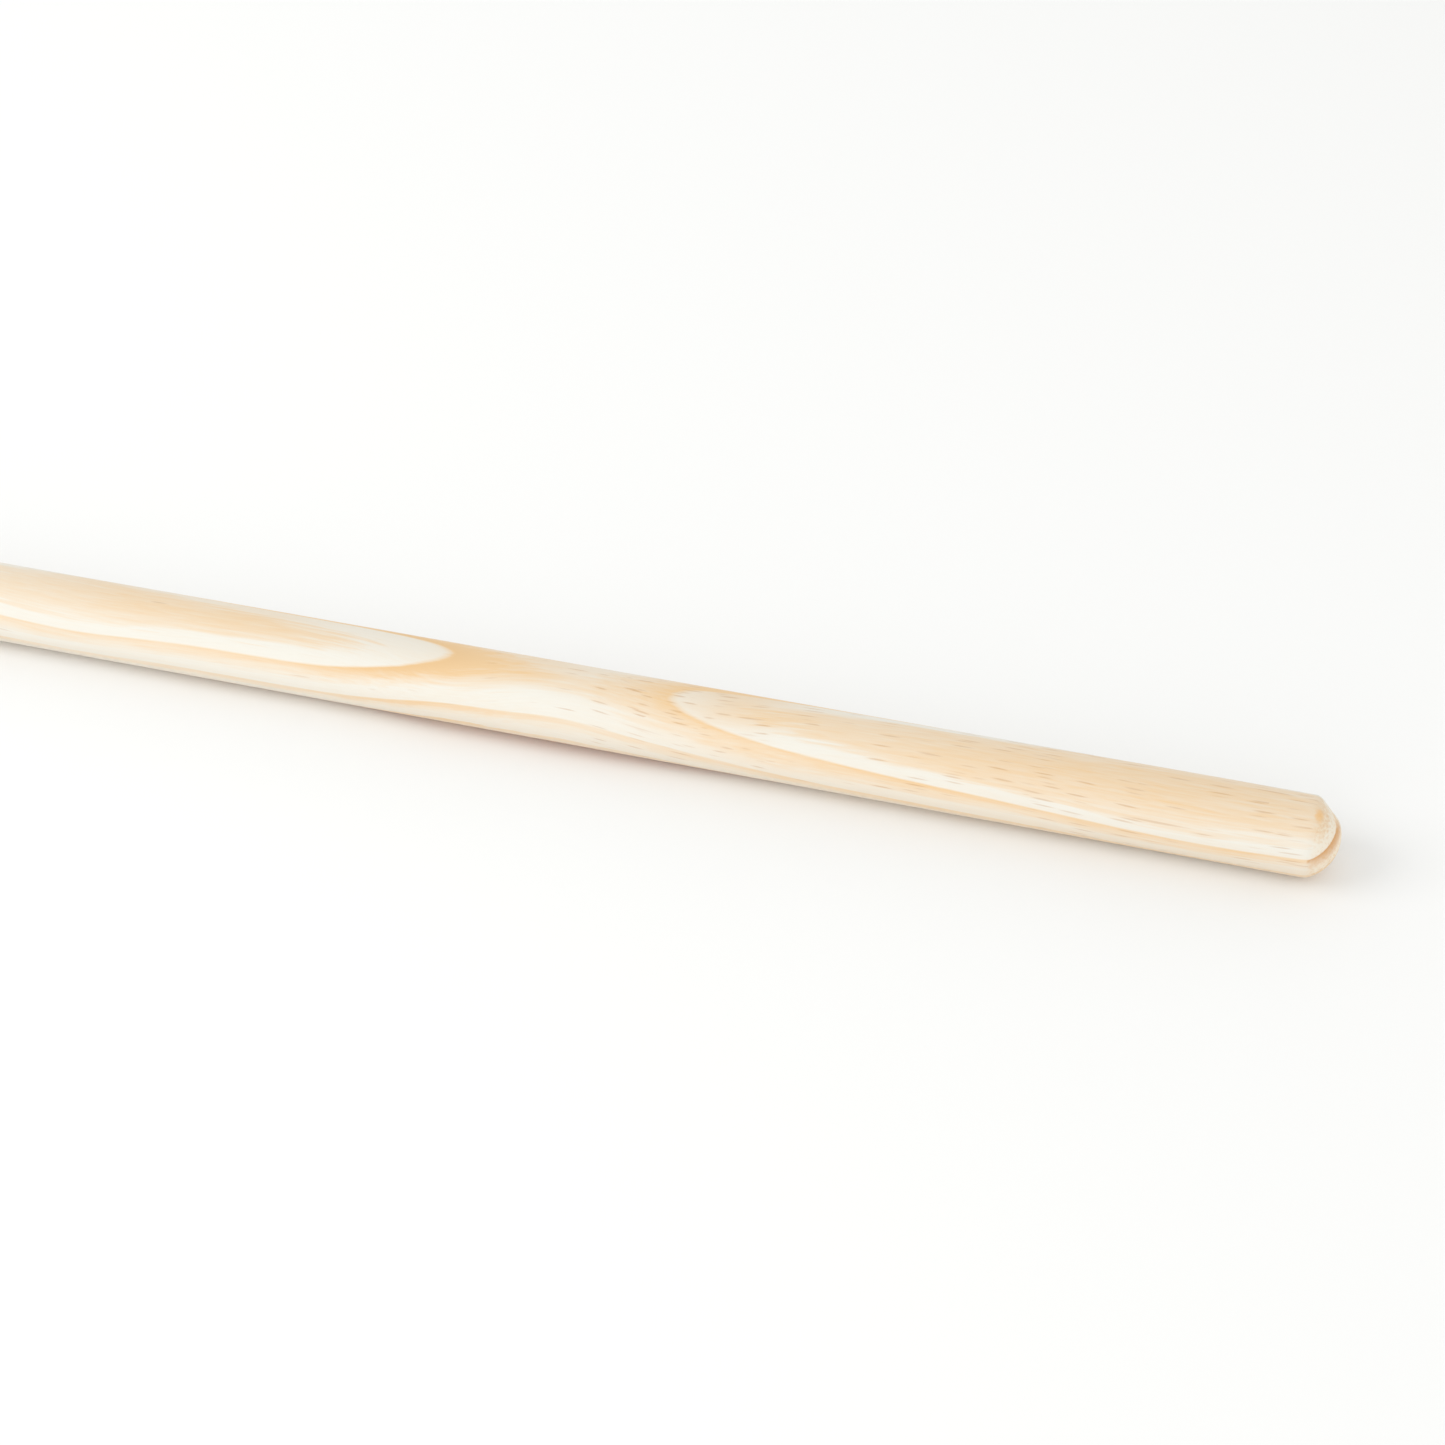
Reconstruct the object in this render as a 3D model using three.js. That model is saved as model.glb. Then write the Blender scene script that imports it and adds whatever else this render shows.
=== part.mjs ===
// Round pine handle: one turned length of softwood, as sold for a broom, mop or rake head.
// It lies on its side along X, +X towards the domed grip end, and rests on the plane z = 0.
// The origin is under the middle of its length. Units are millimetres.
import * as THREE from "three";

// Driving dimensions.
const LENGTH = 1200; // from the sawn socket end to the top of the dome
const DIAMETER = 28; // of the turned shank
const DOME_HEIGHT = 9.5; // how far the rounded grip end stands past the shank
const SOCKET_CHAMFER = 1.5; // the 45 degree arris on the sawn end

// How finely the round faces are divided.
const SIDES = 48; // a multiple of 4, so that a flat side faces down
const DOME_STEPS = 14;

const PINE = new THREE.MeshStandardMaterial({ color: 0xf0d8b4, roughness: 0.6, metalness: 0 });

const radius = DIAMETER / 2;
// The flats, and not the corners between them, lie at a piece's own radius.
const cornerScale = 1 / Math.cos(Math.PI / SIDES);

// A solid of revolution about X from [station along X, radius] points, its axis at the shank's height.
function turned(points) {
  const profile = points.map(([station, r]) => new THREE.Vector2(r * cornerScale, station));
  const geometry = new THREE.LatheGeometry(profile, SIDES);
  geometry.rotateY(Math.PI / SIDES); // turns a flat, and not a corner, to face down
  geometry.rotateZ(-Math.PI / 2); // the lathe's axis, Y, becomes X
  geometry.translate(0, 0, radius);
  return geometry;
}

// Points of the dome, an arc of the sphere that passes through the shank's rim and the dome's top.
function domeArc(rimStation) {
  const sphere = (radius ** 2 + DOME_HEIGHT ** 2) / (2 * DOME_HEIGHT);
  const centre = rimStation + DOME_HEIGHT - sphere;
  const rimAngle = Math.atan2(radius, rimStation - centre);
  const points = [];
  for (let step = 0; step <= DOME_STEPS; step++) {
    const angle = rimAngle * (1 - step / DOME_STEPS);
    points.push([centre + sphere * Math.cos(angle), sphere * Math.sin(angle)]);
  }
  return points;
}

function pineHandle() {
  const sawnEnd = -LENGTH / 2;
  const rim = LENGTH / 2 - DOME_HEIGHT;
  const profile = [
    [sawnEnd, 0],
    [sawnEnd, radius - SOCKET_CHAMFER],
    [sawnEnd + SOCKET_CHAMFER, radius],
    ...domeArc(rim),
  ];
  const handle = new THREE.Mesh(turned(profile), PINE);
  handle.name = "pine_handle";
  return handle;
}

const model = new THREE.Group();
model.add(pineHandle());

export default model;
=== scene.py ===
"""A round turned pine handle, for a broom, a mop or a rake, lying on a pale studio floor.

Everything is in metres. +X runs along the handle to its domed grip end and +Z is up.
"""

import math

import bpy
import numpy as np
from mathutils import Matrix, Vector


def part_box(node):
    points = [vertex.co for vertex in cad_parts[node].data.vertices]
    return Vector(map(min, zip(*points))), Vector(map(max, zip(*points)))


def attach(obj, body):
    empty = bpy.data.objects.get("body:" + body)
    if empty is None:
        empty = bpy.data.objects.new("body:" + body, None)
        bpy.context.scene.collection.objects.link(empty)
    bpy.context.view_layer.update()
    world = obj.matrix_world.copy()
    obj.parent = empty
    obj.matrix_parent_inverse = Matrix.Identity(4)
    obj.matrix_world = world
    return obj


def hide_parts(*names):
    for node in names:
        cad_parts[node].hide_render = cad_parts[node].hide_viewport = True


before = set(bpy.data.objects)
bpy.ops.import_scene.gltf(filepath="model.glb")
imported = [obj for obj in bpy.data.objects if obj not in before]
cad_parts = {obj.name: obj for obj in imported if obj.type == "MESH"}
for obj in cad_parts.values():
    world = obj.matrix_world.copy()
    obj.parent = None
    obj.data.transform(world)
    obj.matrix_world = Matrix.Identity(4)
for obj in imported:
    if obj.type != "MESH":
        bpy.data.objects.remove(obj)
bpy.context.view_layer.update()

# ---------------------------------------------------------------------------------------------
# The turned handle.
# One length of pine, 28 mm round, turned and sanded and left bare. The grip end is rounded to a
# low dome. The socket end is sawn square and chamfered, so that it starts into the head's socket.
# ---------------------------------------------------------------------------------------------
low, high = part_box("pine_handle")
shank_radius = (high.z - low.z) / 2
axis_height = (high.z + low.z) / 2

DOME_HEIGHT = 0.0095
CHAMFER = 0.0015
ARRIS_BLEND = 0.0007  # the dome runs into the shank over this much
CHAMFER_BLEND = 0.0002  # and the chamfer into the shank over this much
TEAR_DEPTH = 0.0006  # beside the main ring, brittle late wood has torn out of the dome
TEAR_WIDTH = 0.0018
TEAR_EDGE = 0.0004
TEAR_START = 0.0012  # the tear deepens over this much from the rim
FLAT_DEPTH = 0.0010  # how far the soft upper side of the dome is sanded below its sphere
FLAT_FACES = math.radians(50)  # which way that side faces, from +Z towards +Y
FLAT_START = -0.08  # the flat starts here, in shares of the dome's height from the rim
FLAT_SLOPE = 0.60  # it is fully deep this much further on
FLAT_RUN_OUT = 0.30  # and it runs out over this much before the dome's top
RIDGE_TOP = 0.0047  # below this height over the axis, the harder wood under the ring stands proud
RIDGE_SLOPE = 0.0015

dome_sphere = (shank_radius**2 + DOME_HEIGHT**2) / (2 * DOME_HEIGHT)
dome_centre = high.x - dome_sphere
rim = high.x - DOME_HEIGHT

# A pine adds a layer each year round its pith: pale, soft early wood, then darker and harder late
# wood, which ends sharply where the next year begins. This blank was sawn beside the pith of a
# stem that bends a little, so the turned face cuts the layers in long ovals and lines.
PITH_DEPTH = 0.0371  # the pith runs this far below the handle's axis
PITH_OFFSET = 0.0120  # and this far to its +Y side
# Where the stem bends: the place along X, half its width, and how far the pith moves, down in the
# first list and towards +Y in the second.
DEPTH_BENDS = [
    (0.333, 0.050, -0.0067),
    (0.151, 0.050, 0.0027),
    (0.5515, 0.0815, 0.0040),
    (-0.060, 0.110, -0.0060),
    (-0.330, 0.070, 0.0045),
    (-0.500, 0.060, -0.0055),
]
SIDE_BENDS = [
    (0.167, 0.102, -0.0037),
    (0.289, 0.040, -0.0075),
    (0.374, 0.057, -0.0050),
    (-0.240, 0.120, -0.0100),
    (-0.470, 0.080, -0.0060),
]
MAIN_RING = 0.0490  # the radius of the ring that outlines the ovals
INNER_RING = 0.0409  # and of the ring before it
# Each year: its outer radius, and its tone from pale, 0, to tan, 1, at shares of its width.
FIRST_RADIUS = 0.0100
YEARS = [
    (0.0175, [(0.0, 0.50), (0.60, 0.60), (1.0, 1.00)]),
    (0.0252, [(0.0, 0.45), (0.60, 0.55), (1.0, 0.95)]),
    (0.0329, [(0.0, 0.20), (0.55, 0.25), (1.0, 0.55)]),
    (INNER_RING, [(0.0, 0.10), (0.50, 0.12), (0.72, 0.28), (0.88, 0.50), (1.0, 0.50)]),
    (MAIN_RING, [(0.0, 0.07), (0.48, 0.03), (0.60, 0.22), (0.75, 0.42), (0.90, 0.62), (1.0, 0.80)]),
    (0.0575, [(0.0, 0.02), (0.24, 0.03), (0.34, 0.45), (0.58, 0.60), (0.76, 0.68), (1.0, 0.78)]),
    (0.0650, [(0.0, 0.05), (0.40, 0.05), (0.70, 0.45), (1.0, 0.85)]),
]


def bend(x, place, half_width, move):
    """A smooth hump: the move at its place, and at t half widths away the move / (1 + t^2)^2."""
    t = (x - place) / half_width
    return move / (1 + t * t) ** 2


def from_pith(x, y, z):
    """How far a point lies across and up from the pith, which is a straight line plus humps.

    Only arithmetic is used, so it takes numpy arrays and shader sockets alike.
    """
    across = y - PITH_OFFSET
    for place, half_width, move in SIDE_BENDS:
        across = across - bend(x, place, half_width, move)
    up = z - axis_height + PITH_DEPTH
    for place, half_width, move in DEPTH_BENDS:
        up = up + bend(x, place, half_width, move)
    return across, up


def smaller(a, b, blend):
    """The smaller of two numbers, with the corner between them rounded off over a blend."""
    share = np.clip(0.5 + 0.5 * (b - a) / blend, 0, 1)
    return b + (a - b) * share - blend * share * (1 - share)


def smooth_step(t):
    """0 below 0 and 1 above 1, with the cubic 3t^2 - 2t^3 between them."""
    t = np.clip(t, 0, 1)
    return t * t * (3 - 2 * t)


SIDES = 384  # columns round the handle
FACE_ROWS = 10
CHAMFER_ROWS = 9
CHAMFER_REACH = 1.15  # the chamfer's rows run this many chamfers along, past its blend
SHANK_ROWS = 88
DOME_ROWS = 112
DOME_START = math.radians(84)  # from the dome's top, a little back along the shank from the rim


def handle_profile():
    """Stations along X and radii from the middle of the sawn end to the top of the dome.

    A straight face, a 45 degree chamfer, the straight shank, and an arc of the dome's sphere.
    """
    face = np.linspace(0, shank_radius - CHAMFER, FACE_ROWS, endpoint=False)
    turn = np.linspace(0, CHAMFER * CHAMFER_REACH, CHAMFER_ROWS)
    chamfer = smaller(shank_radius - CHAMFER + turn, shank_radius, CHAMFER_BLEND)
    angle = np.linspace(DOME_START, 0, DOME_ROWS)
    dome = smaller(dome_sphere * np.sin(angle), shank_radius, ARRIS_BLEND)
    dome_x = dome_centre + dome_sphere * np.cos(angle)
    shank_x = np.linspace(low.x + turn[-1], dome_x[0], SHANK_ROWS + 2)[1:-1]
    x = np.concatenate([np.full(FACE_ROWS, low.x), low.x + turn, shank_x, dome_x])
    r = np.concatenate([face, chamfer, np.full(SHANK_ROWS, shank_radius), dome])
    r[-1] = 0
    return x, r


def handle_points():
    """The profile turned about X: row i and column j give (x_i, r_i sin a_j, r_i cos a_j).

    Column 0 is underneath. On the dome a point then moves towards the sphere's centre, by the
    tear under the main ring and by the flat that sanding left on its upper side.
    """
    x, r = handle_profile()
    angle = np.pi + 2 * np.pi * np.arange(SIDES) / SIDES
    station = np.repeat(x[:, None], SIDES, 1)
    side = r[:, None] * np.sin(angle)
    rise = r[:, None] * np.cos(angle)
    across, up = from_pith(station, side, rise + axis_height)
    inside = MAIN_RING - np.hypot(across, up)  # how far a point lies below the main ring
    on_dome = smooth_step((station - rim) / TEAR_START)
    tear = smooth_step(inside / TEAR_EDGE) * np.exp(-((inside / TEAR_WIDTH) ** 2))
    along = (station - rim) / DOME_HEIGHT
    towards = np.clip(np.cos(angle - FLAT_FACES), 0, 1)[None, :] ** 2
    flat = smooth_step((along - FLAT_START) / FLAT_SLOPE) * smooth_step((1 - along) / FLAT_RUN_OUT)
    flat = flat * towards
    ridge = smooth_step(inside / TEAR_EDGE) * smooth_step((RIDGE_TOP - rise) / RIDGE_SLOPE)
    cut = TEAR_DEPTH * tear * on_dome * (1 - towards) + FLAT_DEPTH * flat * (1 - ridge)
    share = 1 - cut / dome_sphere
    station = dome_centre + (station - dome_centre) * share
    return np.stack([station, side * share, rise * share + axis_height], -1), x, r


MAP_STRIPS = 4
MAP_GAP = 0.003  # between two lengths
MAP_DISCS = 0.030  # the discs' middles lie this far past the lengths
DISC_ZOOM = 1.28  # the ends are mapped larger than the shank by this much
FACE_DISC = 0.25  # how high up the map the sawn face's middle lies
DOME_DISC = 0.75  # and the dome's
MAP_MARGIN = 0.005


def handle_map(x, r, rows, columns, bands):
    """The OFBake map: the shank unrolled in four lengths, and each end as a disc beside them.

    A length's u is the way along the profile and its v the way round. A disc's radius is the way
    along the profile from its middle.
    """
    way = np.concatenate([[0], np.cumsum(np.hypot(np.diff(x), np.diff(r)))])
    girth = 2 * np.pi * shank_radius
    face_end = FACE_ROWS + CHAMFER_ROWS - 1
    dome_start = len(x) - DOME_ROWS
    shank_bands = dome_start - face_end
    strip = np.clip((bands - face_end) * MAP_STRIPS // shank_bands, 0, MAP_STRIPS - 1)
    first = face_end + -(-strip * shank_bands // MAP_STRIPS)
    u = way[rows] - way[first]
    v = columns / SIDES * girth + strip * (girth + MAP_GAP)
    angle = 2 * np.pi * columns / SIDES
    disc_u = way[dome_start] / MAP_STRIPS + MAP_DISCS
    tall = MAP_STRIPS * girth + (MAP_STRIPS - 1) * MAP_GAP
    on_face = bands < face_end
    on_dome = bands >= dome_start
    face_way = way[rows] * DISC_ZOOM
    dome_way = (way[-1] - way[rows]) * DISC_ZOOM
    u = np.where(on_face, disc_u + face_way * np.cos(angle), u)
    v = np.where(on_face, tall * FACE_DISC + face_way * np.sin(angle), v)
    u = np.where(on_dome, disc_u + dome_way * np.cos(angle), u)
    v = np.where(on_dome, tall * DOME_DISC - dome_way * np.sin(angle), v)
    return np.stack([u, v], -1) / tall * (1 - 2 * MAP_MARGIN) + MAP_MARGIN


def handle_mesh():
    """The grid of points as one closed mesh: quads between two rows, and a fan at each end."""
    points, x, r = handle_points()
    end_row = len(x) - 1
    corners = points[1:end_row].reshape(-1, 3)
    tips = [(x[0], 0, axis_height), (x[end_row], 0, axis_height)]
    first_tip = len(corners)
    band, column = np.meshgrid(np.arange(1, end_row - 1), np.arange(SIDES), indexing="ij")
    band = band.ravel()[:, None]
    column = column.ravel()[:, None]
    quad_rows = band + [[0, 1, 1, 0]]
    quad_columns = column + [[0, 0, 1, 1]]
    quads = (quad_rows - 1) * SIDES + quad_columns % SIDES
    around = np.arange(SIDES)[:, None]
    fans = []
    fan_rows = []
    fan_columns = []
    sawn_fan = (1, 0, first_tip, [0, 1])
    dome_fan = (end_row - 1, end_row, first_tip + 1, [1, 0])
    for row, tip_row, tip, order in (sawn_fan, dome_fan):
        edge = around + [order]
        fans.append(np.hstack([np.full((SIDES, 1), tip), (row - 1) * SIDES + edge % SIDES]))
        fan_rows.append(np.tile([tip_row, row, row], SIDES))
        fan_columns.append(np.hstack([around + 0.5, edge]).ravel())
    mesh = bpy.data.meshes.new("turned_handle")
    faces = quads.tolist() + fans[0].tolist() + fans[1].tolist()
    mesh.from_pydata(corners.tolist() + tips, [], faces)
    mesh.polygons.foreach_set("use_smooth", np.ones(len(faces), bool))
    rows = np.concatenate([quad_rows.ravel(), *fan_rows])
    columns = np.concatenate([quad_columns.ravel(), *fan_columns])
    fan_bands = [np.full(3 * SIDES, 0), np.full(3 * SIDES, end_row - 1)]
    bands = np.concatenate([np.repeat(band.ravel(), 4), *fan_bands])
    layer = mesh.uv_layers.new(name="OFBake")
    layer.data.foreach_set("uv", handle_map(x, r, rows, columns, bands).ravel())
    mesh.validate()
    return mesh


class Field:
    """A value that changes over the surface: one socket, whose operators add Math nodes."""

    def __init__(self, tree, socket=None):
        self.tree = tree
        self.socket = socket

    def node(self, kind, settings, sockets, output=0):
        """Adds a node of that kind, with its settings first and then its sockets' values or links."""
        made = self.tree.nodes.new("ShaderNode" + kind)
        for name, value in settings.items():
            if name == "stops":
                stops = made.color_ramp.elements
                stops[0].color = (*[value[0][1]] * 3, 1)
                stops[1].color = (*[value[-1][1]] * 3, 1)
                for place, tone in value[1:-1]:
                    stops.new(place).color = (tone, tone, tone, 1)
            else:
                setattr(made, name, value)
        for name, value in sockets.items():
            if isinstance(value, Field):
                self.tree.links.new(value.socket, made.inputs[name])
            else:
                made.inputs[name].default_value = value
        return Field(self.tree, made.outputs[output])

    def maths(self, operation, a, b):
        return self.node("Math", {"operation": operation}, {0: a, 1: b})

    def __add__(self, other):
        return self.maths("ADD", self, other)

    def __radd__(self, other):
        return self.maths("ADD", other, self)

    def __sub__(self, other):
        return self.maths("SUBTRACT", self, other)

    def __rsub__(self, other):
        return self.maths("SUBTRACT", other, self)

    def __mul__(self, other):
        return self.maths("MULTIPLY", self, other)

    def __rmul__(self, other):
        return self.maths("MULTIPLY", other, self)

    def __truediv__(self, other):
        return self.maths("DIVIDE", self, other)

    def __rtruediv__(self, other):
        return self.maths("DIVIDE", other, self)

    def __pow__(self, other):
        return self.maths("POWER", self, other)

    def over(self, start, end):
        """0 where the field is at start, 1 where it is at end, and smooth between them."""
        limits = {"Value": self, "From Min": start, "From Max": end}
        return self.node("MapRange", {"interpolation_type": "SMOOTHSTEP"}, limits)

    def vector(self, y, z):
        return self.node("CombineXYZ", {}, {"X": self, "Y": y, "Z": z})

    def noise(self, detail):
        """Noise about 0, from about -0.5 to 0.5, with one wave to each unit of this vector."""
        sockets = {"Vector": self, "Scale": 1.0, "Detail": detail, "Roughness": 0.5}
        return self.node("TexNoise", {}, sockets) - 0.5

    def mixed(self, a, b):
        """Colour a where the field is 0 and colour b where it is 1."""
        sockets = {0: self, 6: a, 7: b}
        return self.node("Mix", {"data_type": "RGBA"}, sockets, 2)


def year_stops(edge):
    """The years' tones as stops from 0, at the first radius, to 1, at the last year's edge.

    A year's tone falls back to pale within the edge, a small share of the whole span.
    """
    span = YEARS[-1][0] - FIRST_RADIUS
    stops = []
    inner = FIRST_RADIUS
    for outer, tones in YEARS:
        for share, tone in tones:
            place = (inner + (outer - inner) * share - FIRST_RADIUS) / span
            stops.append((place + edge * (share == 0 and place > 0), tone))
        inner = outer
    return stops


PALE = (0.724, 0.702, 0.640, 1)
TAN = (0.735, 0.522, 0.300, 1)
AMBER = (0.670, 0.430, 0.205, 1)
HEARTWOOD = (0.520, 0.260, 0.130, 1)
CANAL = (0.480, 0.265, 0.115, 1)
PALE_END = (0.820, 0.735, 0.600, 1)
TAN_END = (0.730, 0.505, 0.290, 1)
TORN = (0.600, 0.300, 0.100, 1)
RESIN = (0.780, 0.460, 0.175, 1)

# Waves of tone: their length along the grain and their width across it.
WANDER = (0.050, 0.006)  # in the layers themselves
WANDER_DEPTH = 0.0006
BROAD_FIBRES = (0.070, 0.0022)
MIDDLE_FIBRES = (0.026, 0.0011)
FINE_FIBRES = (0.010, 0.00060)
CLOUDS = (0.060, 0.020)
# Where the figure is stronger or weaker: the place along X, half the width, and how much is added.
CANAL_ZONES = [
    (0.578, 0.022, 0.48),
    (0.500, 0.060, 0.75),
    (0.365, 0.040, 0.80),
    (0.020, 0.090, 0.20),
    (-0.380, 0.080, 0.30),
]
STREAKY_ZONES = [(0.560, 0.050, 0.35), (-0.150, 0.120, 0.25), (-0.520, 0.060, 0.50)]
AMBER_ZONES = [(0.275, 0.040, 0.70), (0.455, 0.050, 0.06), (-0.080, 0.070, 0.40)]
STRONG_ZONES = [
    (0.285, 0.045, 0.50),
    (0.462, 0.050, 0.22),
    (0.150, 0.070, -0.22),
    (-0.080, 0.070, 0.20),
]


def zoned(x, level, zones):
    for zone in zones:
        level = level + bend(x, *zone)
    return level


def over_axis(z, start, end):
    """0 where z is that start above the handle's axis, and 1 where it is that end above it."""
    return z.over(axis_height + start, axis_height + end)


def waves(x, across, up, size):
    """Noise in waves of that length along the grain and that width across it."""
    length, width = size
    return (x / length).vector(across / width, up / width).noise(3.0)


# Late wood begins in feathered streaks, but beside these two rings it keeps a clean line.
BROAD_FEATHER = 0.0020
MIDDLE_FEATHER = 0.0024
MAIN_CALM = 0.0016
INNER_CALM = 0.0014
LATE_SHIFT = (0.590, 0.060, 0.0004)  # near the dome it begins this much further out
YEAR_EDGE = 0.003  # a year ends over this share of the ramp


def year_tone(x, radius, broad, middle):
    """Each year's tones at the radius, which the fibres move to and fro away from the two rings."""
    from_main = radius - MAIN_RING
    from_inner = radius - INNER_RING
    off_main = (from_main * from_main).over(0.0, MAIN_CALM**2)
    off_inner = (from_inner * from_inner).over(0.0, INNER_CALM**2)
    feather = broad * BROAD_FEATHER + middle * MIDDLE_FEATHER - bend(x, *LATE_SHIFT)
    feathered = radius + feather * (off_main * off_inner)
    span = YEARS[-1][0] - FIRST_RADIUS
    stops = {"stops": year_stops(YEAR_EDGE)}
    return x.node("ValToRGB", stops, {"Fac": (feathered - FIRST_RADIUS) / span})


# Broad places that are tanner or paler than their years, and where round the shank they lie. The tanner
# underside, last, is painted shade.
BLUSH_ZONES = [
    (0.318, 0.034, 0.44),
    (0.395, 0.026, 0.52),
    (0.222, 0.030, 0.24),
    (0.175, 0.045, 0.22),
]
BLUSH_SIDE = (-0.0112, -0.0040)  # along Y, from none to full
BLUSH_HEIGHTS = (0.0040, 0.0085)  # over the axis
BLUSH_WAVER = 0.006
FLUSH_ZONE = (0.400, 0.055, 0.34)
FLUSH_LAYER = (0.0452, 0.0028, 1.0)
FADE_ZONE = (0.590, 0.055, 0.32)
FADE_LAYER = (0.0534, 0.0022, 1.0)
FADE_SIDE = (-0.0088, -0.0114)
# Painted shade: low down near the dome the wood is turned tanner, standing in for the warm shade under
# the handle.
PAINTED_SHADE_ZONE = (0.600, 0.260, 0.30)
PAINTED_SHADE_HEIGHTS = (0.0060, -0.0070)


def with_zones(tone, x, y, z, radius, cloud):
    """The tone with its tanner places on top and inside the main ring, painted warm shade low down near
    the dome, and its paler one.
    """
    blush = zoned(x, 0.0, BLUSH_ZONES) * (y + cloud * BLUSH_WAVER).over(*BLUSH_SIDE)
    blush = blush * over_axis(z, *BLUSH_HEIGHTS)
    flush = bend(x, *FLUSH_ZONE) * bend(radius, *FLUSH_LAYER)
    # painted shade: the tone turns tanner low down near the dome
    painted_shade = over_axis(z, *PAINTED_SHADE_HEIGHTS) * bend(x, *PAINTED_SHADE_ZONE)
    fade = bend(x, *FADE_ZONE) * bend(radius, *FADE_LAYER) * y.over(*FADE_SIDE)
    return tone + blush + flush + painted_shade - fade


# Resin canals: the layers that are rich in them, and the length and width of their cells.
OUTER_CANALS = (0.0522, 0.0026, 0.7)
INNER_CANALS = (0.0468, 0.0024, 0.6)
CANALS_ELSEWHERE = 0.35
CANALS_BASE = 0.04  # how common they are away from the rich zones
SHORT_CANALS = (0.0140, 0.0010)
LONG_CANALS = (0.0360, 0.0014)
LONG_SHARE = 0.25  # how common the long ones are, beside the short
CANAL_WAVER = 0.0008
CANAL_EDGE = (0.40, 0.14)  # from a dash's outside to its full middle, in cells
DRAW_BLEND = 0.06
SHORT_STRENGTH = 0.46
LONG_STRENGTH = 0.45


def canals(x, across, up, size, commonness):
    """Resin canals as dashes along the grain, each round a random point that is often left out."""
    length, width = size
    cells = (x / length).vector(across / width, up / width)
    sockets = {"Vector": cells, "Scale": 1.0}
    distance = x.node("TexVoronoi", {}, sockets, "Distance")
    draw = x.node("TexVoronoi", {}, sockets, "Color")
    red = x.node("SeparateColor", {}, {"Color": draw}, "Red")
    drawn = red.over(1.0 - commonness, 1.0 + DRAW_BLEND - commonness)
    return distance.over(*CANAL_EDGE) * drawn


def canal_marks(x, across, up, radius, middle):
    """Short and long canals together, most common in the rich layers of the rich zones."""
    layers = bend(radius, *OUTER_CANALS) + bend(radius, *INNER_CANALS) + CANALS_ELSEWHERE
    commonness = zoned(x, CANALS_BASE, CANAL_ZONES) * layers
    waver = middle * CANAL_WAVER
    short = canals(x, across + waver, up, SHORT_CANALS, commonness)
    long = canals(x, across, up + waver, LONG_CANALS, commonness * LONG_SHARE)
    return short * SHORT_STRENGTH + long * LONG_STRENGTH


# On the dome: how far each mark runs, past the rim, inside the main ring and over the axis.
DOME_GRAIN = (-0.0006, 0.0016)
TORN_EDGE = (0.0, 0.0003)
TORN_WIDTH = (0.0055, 0.0002)
TORN_HEIGHTS = (0.0080, 0.0056)
# A dark seam just inside the main ring on the dome. It is partly the late wood's own colour and partly
# painted shadow under the pale cap's edge.
SEAM_AND_SHADOW_START = (-0.0006, 0.0002)
SEAM_AND_SHADOW_EDGE = (0.0, 0.0002)
SEAM_AND_SHADOW_WIDTH = (0.0018, 0.0005)
SEAM_AND_SHADOW_HEIGHTS = (0.0068, 0.0030)
SEAM_AND_SHADOW_DARKNESS = 0.60
SPECKLE_LENGTH = 0.0009
SPECKLE_WIDTH = 0.0011
DOTS_FROM = 0.03  # the speckle's dots begin at this much noise
DOTS_FULL = 0.12
DOT_STRENGTH = 0.45
RESIN_SPOT = (rim + 0.0011, -0.0033, axis_height + 0.0124)
SPOT_EDGE = (0.0036, 0.0010)  # from its outside to where it is full
SPOT_RAGGEDNESS = 0.0030
SPOT_STRENGTH = 0.65
SPOT_NARROWING = 3.0  # along X, squared


def past_rim(x, start, end):
    return x.over(rim + start, rim + end)


def resin_spot(x, y, z, speckle):
    """A ragged spot of resin, narrower along X than round the dome."""
    to_spot = [here - there for here, there in zip((x, y, z), RESIN_SPOT)]
    squares = [distance * distance for distance in to_spot]
    spot = (squares[0] * SPOT_NARROWING + squares[1] + squares[2]) ** 0.5
    return (spot + speckle * SPOT_RAGGEDNESS).over(*SPOT_EDGE) * SPOT_STRENGTH


HEARTWOOD_EDGE = (0.0300, 0.0260)  # by radius, from none to full
SAWN_EDGE = 0.4  # the chamfer's end grain is full this share of a chamfer from the sawn face
# How much each wave of fibres shows in the tone, and all of them in late and in early wood.
BROAD_STREAKS = 0.22
MIDDLE_STREAKS = 0.35
FINE_STREAKS = 0.60
LATE_STREAKS = 0.8
EARLY_STREAKS = 0.35
CLOUDINESS = 0.20
AMBER_FROM = 0.40  # wood that is tanner than this may turn amber
AMBER_BASE = 0.05
AMBER_GAIN = 2.0
CANAL_BREAKS = 0.8  # fine fibres break a canal up round this strength
# How rough the sanded wood is, and how much more or less its parts are.
SANDED = 0.62
LATE_SHEEN = 0.08
FIBRE_ROUGHNESS = 0.10
END_ROUGHNESS = 0.12
# The relief's depth, and how high each part stands in shares of it.
RELIEF = 0.00015
RELIEF_STRENGTH = 0.5
LATE_RELIEF = 0.4
FIBRE_RELIEF = 0.8
CANAL_RELIEF = 0.6
SAW_RELIEF = 1.5
SAW_PITCH = 0.0007  # from one mark of the saw to the next, up the face
SAW_LENGTH = 0.030
SAW_DEPTH = 0.010


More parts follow.
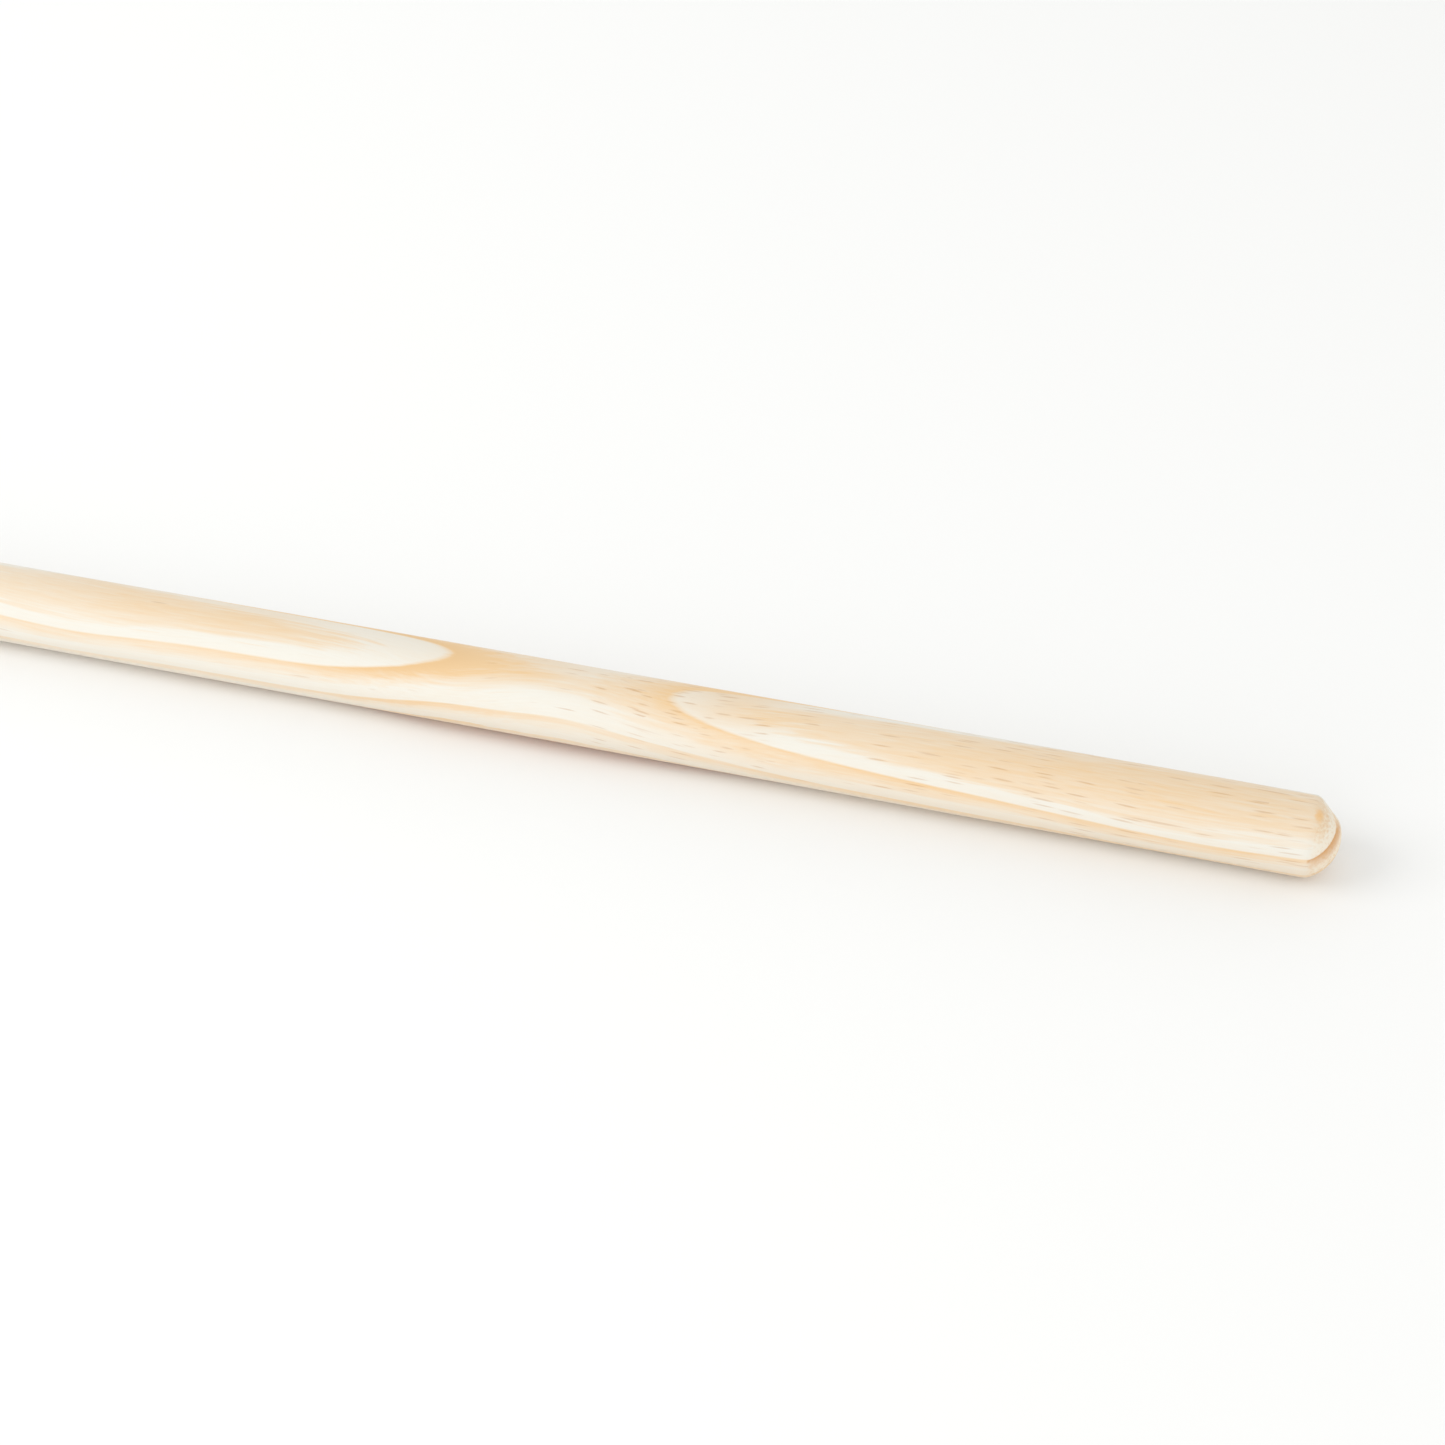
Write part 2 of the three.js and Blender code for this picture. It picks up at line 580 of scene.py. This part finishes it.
def pine():
    """The bare wood: tones by the year, long fibres, resin canals, and darker end grain."""
    material = bpy.data.materials.new("pine")
    material.use_nodes = True
    tree = material.node_tree
    shader = tree.nodes["Principled BSDF"]
    start = Field(tree)
    place = start.node("TexCoord", {}, {}, "Object")
    x, y, z = (start.node("SeparateXYZ", {}, {"Vector": place}, axis) for axis in "XYZ")
    across, up = from_pith(x, y, z)

    broad = waves(x, across, up, BROAD_FIBRES)
    middle = waves(x, across, up, MIDDLE_FIBRES)
    fine = waves(x, across, up, FINE_FIBRES)
    cloud = (x / CLOUDS[0]).vector(y / CLOUDS[1], z / CLOUDS[1]).noise(2.0)
    radius = (across * across + up * up) ** 0.5 + waves(x, across, up, WANDER) * WANDER_DEPTH

    late = year_tone(x, radius, broad, middle)
    streaky = zoned(x, MIDDLE_STREAKS, STREAKY_ZONES)
    streaks = broad * BROAD_STREAKS + middle * streaky + fine * FINE_STREAKS
    tone = with_zones(late * zoned(x, 1.0, STRONG_ZONES), x, y, z, radius, cloud)
    tone = tone + streaks * (late * LATE_STREAKS + EARLY_STREAKS) + cloud * CLOUDINESS
    amber = (late - AMBER_FROM) * zoned(x, AMBER_BASE, AMBER_ZONES) * AMBER_GAIN

    # End grain shows on the sawn face, and more and more towards the top of the dome.
    steep = (x - dome_centre) / dome_sphere
    on_dome = past_rim(x, *DOME_GRAIN)
    sawn = x.over(low.x + CHAMFER, low.x + CHAMFER * SAWN_EDGE)
    end_grain = on_dome * steep + sawn
    canal = canal_marks(x, across, up, radius, middle) * (1 - end_grain) * (fine + CANAL_BREAKS)

    wood = tone.mixed(PALE, TAN)
    wood = radius.over(*HEARTWOOD_EDGE).mixed(wood, HEARTWOOD)
    wood = amber.mixed(wood, AMBER)
    wood = canal.mixed(wood, CANAL)

    # Light and dark dots of cut fibres, and the late wood that has torn out under the main ring.
    speckle = (x / SPECKLE_LENGTH).vector(y / SPECKLE_WIDTH, z / SPECKLE_WIDTH).noise(2.0)
    dots = speckle.over(DOTS_FROM, DOTS_FULL) - speckle.over(-DOTS_FROM, -DOTS_FULL)
    inside = 0.0 - (radius - MAIN_RING)
    torn = inside.over(*TORN_EDGE) * inside.over(*TORN_WIDTH) * on_dome * over_axis(z, *TORN_HEIGHTS)
    # The dark seam under the pale cap's edge: late wood's colour with painted shadow.
    seam_and_shadow = inside.over(*SEAM_AND_SHADOW_EDGE) * inside.over(*SEAM_AND_SHADOW_WIDTH) * past_rim(x, *SEAM_AND_SHADOW_START)
    seam_and_shadow = seam_and_shadow * over_axis(z, *SEAM_AND_SHADOW_HEIGHTS) * SEAM_AND_SHADOW_DARKNESS
    end_wood = (tone + dots * DOT_STRENGTH).mixed(PALE_END, TAN_END)
    end_wood = torn.mixed(end_wood, TORN)
    colour = end_grain.mixed(wood, end_wood)
    # The seam darkens the colour: late wood's tone and painted shadow under the cap's edge.
    colour = seam_and_shadow.mixed(colour, TORN)
    colour = resin_spot(x, y, z, speckle).mixed(colour, RESIN)
    tree.links.new(colour.socket, shader.inputs["Base Color"])

    roughness = SANDED - late * LATE_SHEEN + fine * FIBRE_ROUGHNESS + end_grain * END_ROUGHNESS
    tree.links.new(roughness.socket, shader.inputs["Roughness"])
    saw_marks = (z / SAW_PITCH).vector(y / SAW_LENGTH, x / SAW_DEPTH).noise(2.0) * sawn
    height = late * LATE_RELIEF + fine * FIBRE_RELIEF - canal * CANAL_RELIEF
    height = height + speckle * end_grain + saw_marks * SAW_RELIEF
    bump = {"Strength": RELIEF_STRENGTH, "Distance": RELIEF, "Height": height}
    relief = start.node("Bump", {}, bump)
    tree.links.new(relief.socket, shader.inputs["Normal"])
    shader.inputs["Specular IOR Level"].default_value = 0.25
    return material


handle = bpy.data.objects.new("turned_handle", handle_mesh())
bpy.context.scene.collection.objects.link(handle)
handle.data.materials.append(pine())
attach(handle, "root")
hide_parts("pine_handle")

# ---------------------------------------------------------------------------------------------
# The floor.
# A plain studio floor of pale, matt paint. It is one flat disc, 40 m across, at the height of the
# handle's lowest point.
# ---------------------------------------------------------------------------------------------
FLOOR_RADIUS = 20
FLOOR_SIDES = 96
FLOOR_COLOUR = (0.865, 0.863, 0.857, 1)
FLOOR_ROUGHNESS = 0.9


def floor_mesh():
    """A disc at the handle's lowest point: one polygon with its corners on a circle."""
    angle = 2 * np.pi * np.arange(FLOOR_SIDES) / FLOOR_SIDES
    edge = np.stack([np.cos(angle), np.sin(angle), 0 * angle], -1) * FLOOR_RADIUS
    mesh = bpy.data.meshes.new("floor")
    mesh.from_pydata((edge + [0, 0, low.z]).tolist(), [], [list(range(FLOOR_SIDES))])
    return mesh


def pale_paint():
    material = bpy.data.materials.new("floor")
    material.use_nodes = True
    shader = material.node_tree.nodes["Principled BSDF"]
    shader.inputs["Base Color"].default_value = FLOOR_COLOUR
    shader.inputs["Roughness"].default_value = FLOOR_ROUGHNESS
    shader.inputs["Specular IOR Level"].default_value = 0.0
    return material


floor = bpy.data.objects.new("floor", floor_mesh())
bpy.context.scene.collection.objects.link(floor)
floor.data.materials.append(pale_paint())

# ---------------------------------------------------------------------------------------------
# The light.
# A pale room round the floor, and two wide, soft, round lamps that face the middle of the view: a
# strong one above and to the left, and a weaker one low in front.
# ---------------------------------------------------------------------------------------------
HORIZON = (1.54, 1.46, 1.39, 1)
OVERHEAD = (0.64, 0.69, 0.71, 1)
WHITE = (1.0, 1.0, 1.0, 1)
VIEW_INSET = 0.212  # the middle of the view lies this far from the dome's top
VIEW_RISE = 0.0039  # and this far over the handle's axis
view_middle = Vector((high.x - VIEW_INSET, 0.0, axis_height + VIEW_RISE))
# Each lamp: its way from the middle of the view, its diameter and its power in watts.
KEY_LAMP = (Vector((-1.90, -0.80, 1.60)), 1.7, 22)
FRONT_LAMP = (Vector((-0.20, -2.00, 0.65)), 1.6, 5.5)


def pale_room():
    """Bright, warm walls and a dimmer ceiling. Where the camera sees past the floor it is white."""
    world = bpy.data.worlds.new("pale_room")
    world.use_nodes = True
    tree = world.node_tree
    start = Field(tree)
    way = start.node("TexCoord", {}, {}, "Generated")
    rise = start.node("SeparateXYZ", {}, {"Vector": way}, "Z")
    room = rise.mixed(HORIZON, OVERHEAD)
    seen = start.node("LightPath", {}, {}, "Is Camera Ray")
    tree.links.new(seen.mixed(room, WHITE).socket, tree.nodes["Background"].inputs["Color"])
    return world


def soft_lamp(name, way, size, power):
    """A round lamp at that way from the middle of the view, turned towards it."""
    data = bpy.data.lights.new(name, "AREA")
    data.shape = "DISK"
    data.size = size
    data.energy = power
    lamp = bpy.data.objects.new(name, data)
    lamp.location = view_middle + way
    lamp.rotation_mode = "QUATERNION"
    lamp.rotation_quaternion = (-way).to_track_quat("-Z", "Y")
    bpy.context.scene.collection.objects.link(lamp)


bpy.context.scene.world = pale_room()
soft_lamp("key_lamp", *KEY_LAMP)
soft_lamp("front_lamp", *FRONT_LAMP)

# ---------------------------------------------------------------------------------------------
# The camera.
# A 73.5 mm lens a metre from the middle of the view. It looks down at the grip end, and a little
# along the handle.
# ---------------------------------------------------------------------------------------------
AZIMUTH = math.radians(15.08)
ELEVATION = math.radians(41.48)
DISTANCE = 1.0154
SENSOR_MM = 36
LENS_MM = 73.5

camera_data = bpy.data.cameras.new("camera")
camera_data.sensor_width = SENSOR_MM
camera_data.lens = LENS_MM
camera_data.clip_start = 0.05
camera_data.clip_end = 60
camera = bpy.data.objects.new("camera", camera_data)
back = Vector(
    (
        math.sin(AZIMUTH) * math.cos(ELEVATION),
        -math.cos(AZIMUTH) * math.cos(ELEVATION),
        math.sin(ELEVATION),
    )
)
camera.location = view_middle + back * DISTANCE
camera.rotation_mode = "QUATERNION"
camera.rotation_quaternion = (-back).to_track_quat("-Z", "Y")
bpy.context.scene.collection.objects.link(camera)
bpy.context.scene.camera = camera
bpy.context.scene.view_settings.view_transform = "Standard"
